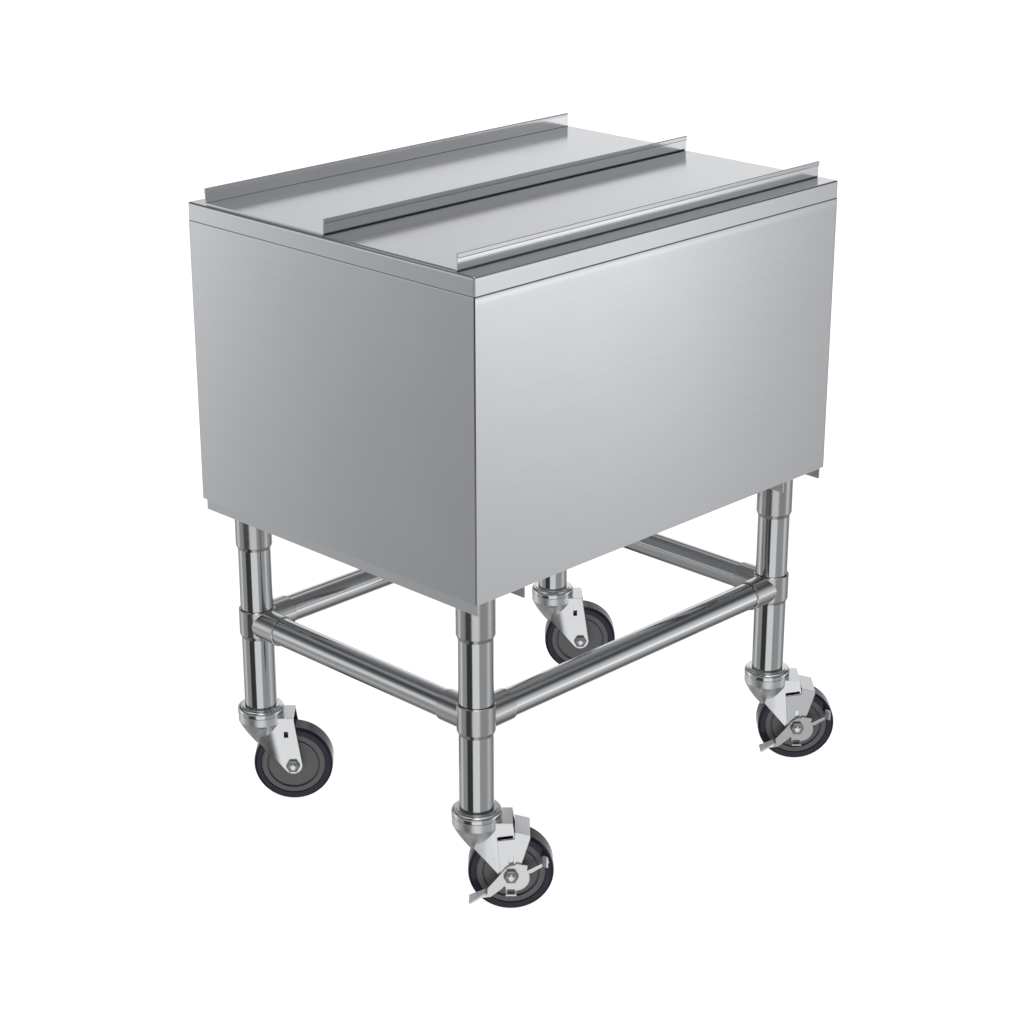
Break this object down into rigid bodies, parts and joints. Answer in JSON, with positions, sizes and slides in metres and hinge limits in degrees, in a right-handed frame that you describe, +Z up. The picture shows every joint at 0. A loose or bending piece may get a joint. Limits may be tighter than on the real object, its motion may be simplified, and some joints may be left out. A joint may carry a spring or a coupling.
{
  "type": "mobile ice bin",
  "caption": "Insulated stainless steel ice bin with a sliding front cover and a lift-off rear cover, on a tube frame with swivel casters, front brakes and a drain valve.",
  "frame": {"origin": "on the floor, under the middle of the body", "axes": "+Z up, +X to the bin's right as seen from its front, -Y out of its front"},
  "size_m": [0.6606, 0.5178, 0.808],
  "materials": {
    "satin_steel": "satin",
    "tube_steel": "polished",
    "fitting_steel": "satin",
    "zinc_steel": "bright zinc",
    "bearing_steel": "polished",
    "brass": "satin",
    "seat_plastic": "matte",
    "foam": "matte foam",
    "core_plastic": "matte",
    "tread": "glossy polyurethane"
  },
  "bodies": {
    "bin": {"ice_tank": "satin_steel", "front_panel": "satin_steel", "back_panel": "satin_steel", "left_end_panel": "satin_steel", "right_end_panel": "satin_steel", "bottom_pan": "satin_steel", "left_leg_channel": "satin_steel", "right_leg_channel": "satin_steel", "drain_strainer": "satin_steel", "drain_cup": "satin_steel", "leg_front_left": "tube_steel", "leg_front_right": "tube_steel", "leg_back_left": "tube_steel", "leg_back_right": "tube_steel", "front_rail": "tube_steel", "back_rail": "tube_steel", "left_rail": "tube_steel", "right_rail": "tube_steel", "leg_socket_front_left": "fitting_steel", "leg_socket_front_right": "fitting_steel", "leg_socket_back_left": "fitting_steel", "leg_socket_back_right": "fitting_steel", "corner_fitting_front_left": "fitting_steel", "corner_fitting_front_right": "fitting_steel", "corner_fitting_back_left": "fitting_steel", "corner_fitting_back_right": "fitting_steel", "caster_race_front_left": "zinc_steel", "caster_race_front_right": "zinc_steel", "caster_race_back_left": "zinc_steel", "caster_race_back_right": "zinc_steel", "set_screws": "zinc_steel", "swivel_balls": "bearing_steel", "drain_valve_body": "brass", "drain_valve_seats": "seat_plastic", "insulation": "foam"},
    "front_cover": {"front_cover": "satin_steel"},
    "rear_cover": {"rear_cover": "satin_steel"},
    "drain_lever": {"drain_valve_ball": "bearing_steel", "drain_valve_lever": "zinc_steel", "drain_lever_nut": "zinc_steel"},
    "caster_front_left": {"caster_fork_front_left": "zinc_steel", "axle_set_front_left": "zinc_steel", "brake_bracket_front_left": "zinc_steel"},
    "wheel_front_left": {"wheel_core_front_left": "core_plastic", "wheel_tread_front_left": "tread"},
    "brake_front_left": {"brake_lever_front_left": "zinc_steel"},
    "caster_front_right": {"caster_fork_front_right": "zinc_steel", "axle_set_front_right": "zinc_steel", "brake_bracket_front_right": "zinc_steel"},
    "wheel_front_right": {"wheel_core_front_right": "core_plastic", "wheel_tread_front_right": "tread"},
    "brake_front_right": {"brake_lever_front_right": "zinc_steel"},
    "caster_back_left": {"caster_fork_back_left": "zinc_steel", "axle_set_back_left": "zinc_steel"},
    "wheel_back_left": {"wheel_core_back_left": "core_plastic", "wheel_tread_back_left": "tread"},
    "caster_back_right": {"caster_fork_back_right": "zinc_steel", "axle_set_back_right": "zinc_steel"},
    "wheel_back_right": {"wheel_core_back_right": "core_plastic", "wheel_tread_back_right": "tread"}
  },
  "joints": [
    {"name": "front_cover_slide", "type": "slide", "parent": "bin", "child": "front_cover", "axis": [0, 1, 0], "range_m": [0, 0.18]},
    {"name": "rear_cover_lift", "type": "slide", "parent": "bin", "child": "rear_cover", "axis": [0, 0, 1], "range_m": [0, 0.15]},
    {"name": "drain_lever_turn", "type": "hinge", "parent": "bin", "child": "drain_lever", "pos_m": [0, -0.03, 0.366], "axis": [0, 1, 0], "range_deg": [0, 90]},
    {"name": "swivel_front_left", "type": "hinge", "parent": "bin", "child": "caster_front_left", "pos_m": [-0.2725, -0.197, 0.118], "axis": [0, 0, 1], "continuous": true},
    {"name": "wheel_spin_front_left", "type": "hinge", "parent": "caster_front_left", "child": "wheel_front_left", "pos_m": [-0.24422, -0.22528, 0.0508], "axis": [0.7071, 0.7071, 0], "continuous": true},
    {"name": "brake_pedal_front_left", "type": "hinge", "parent": "caster_front_left", "child": "brake_front_left", "pos_m": [-0.24422, -0.22528, 0.0508], "axis": [0.7071, 0.7071, 0], "range_deg": [0, 35]},
    {"name": "swivel_front_right", "type": "hinge", "parent": "bin", "child": "caster_front_right", "pos_m": [0.2725, -0.197, 0.118], "axis": [0, 0, 1], "continuous": true},
    {"name": "wheel_spin_front_right", "type": "hinge", "parent": "caster_front_right", "child": "wheel_front_right", "pos_m": [0.30078, -0.22528, 0.0508], "axis": [0.7071, 0.7071, 0], "continuous": true},
    {"name": "brake_pedal_front_right", "type": "hinge", "parent": "caster_front_right", "child": "brake_front_right", "pos_m": [0.30078, -0.22528, 0.0508], "axis": [0.7071, 0.7071, 0], "range_deg": [0, 35]},
    {"name": "swivel_back_left", "type": "hinge", "parent": "bin", "child": "caster_back_left", "pos_m": [-0.2725, 0.197, 0.118], "axis": [0, 0, 1], "continuous": true},
    {"name": "wheel_spin_back_left", "type": "hinge", "parent": "caster_back_left", "child": "wheel_back_left", "pos_m": [-0.24422, 0.16872, 0.0508], "axis": [0.7071, 0.7071, 0], "continuous": true},
    {"name": "swivel_back_right", "type": "hinge", "parent": "bin", "child": "caster_back_right", "pos_m": [0.2725, 0.197, 0.118], "axis": [0, 0, 1], "continuous": true},
    {"name": "wheel_spin_back_right", "type": "hinge", "parent": "caster_back_right", "child": "wheel_back_right", "pos_m": [0.30078, 0.16872, 0.0508], "axis": [0.7071, 0.7071, 0], "continuous": true}
  ]
}
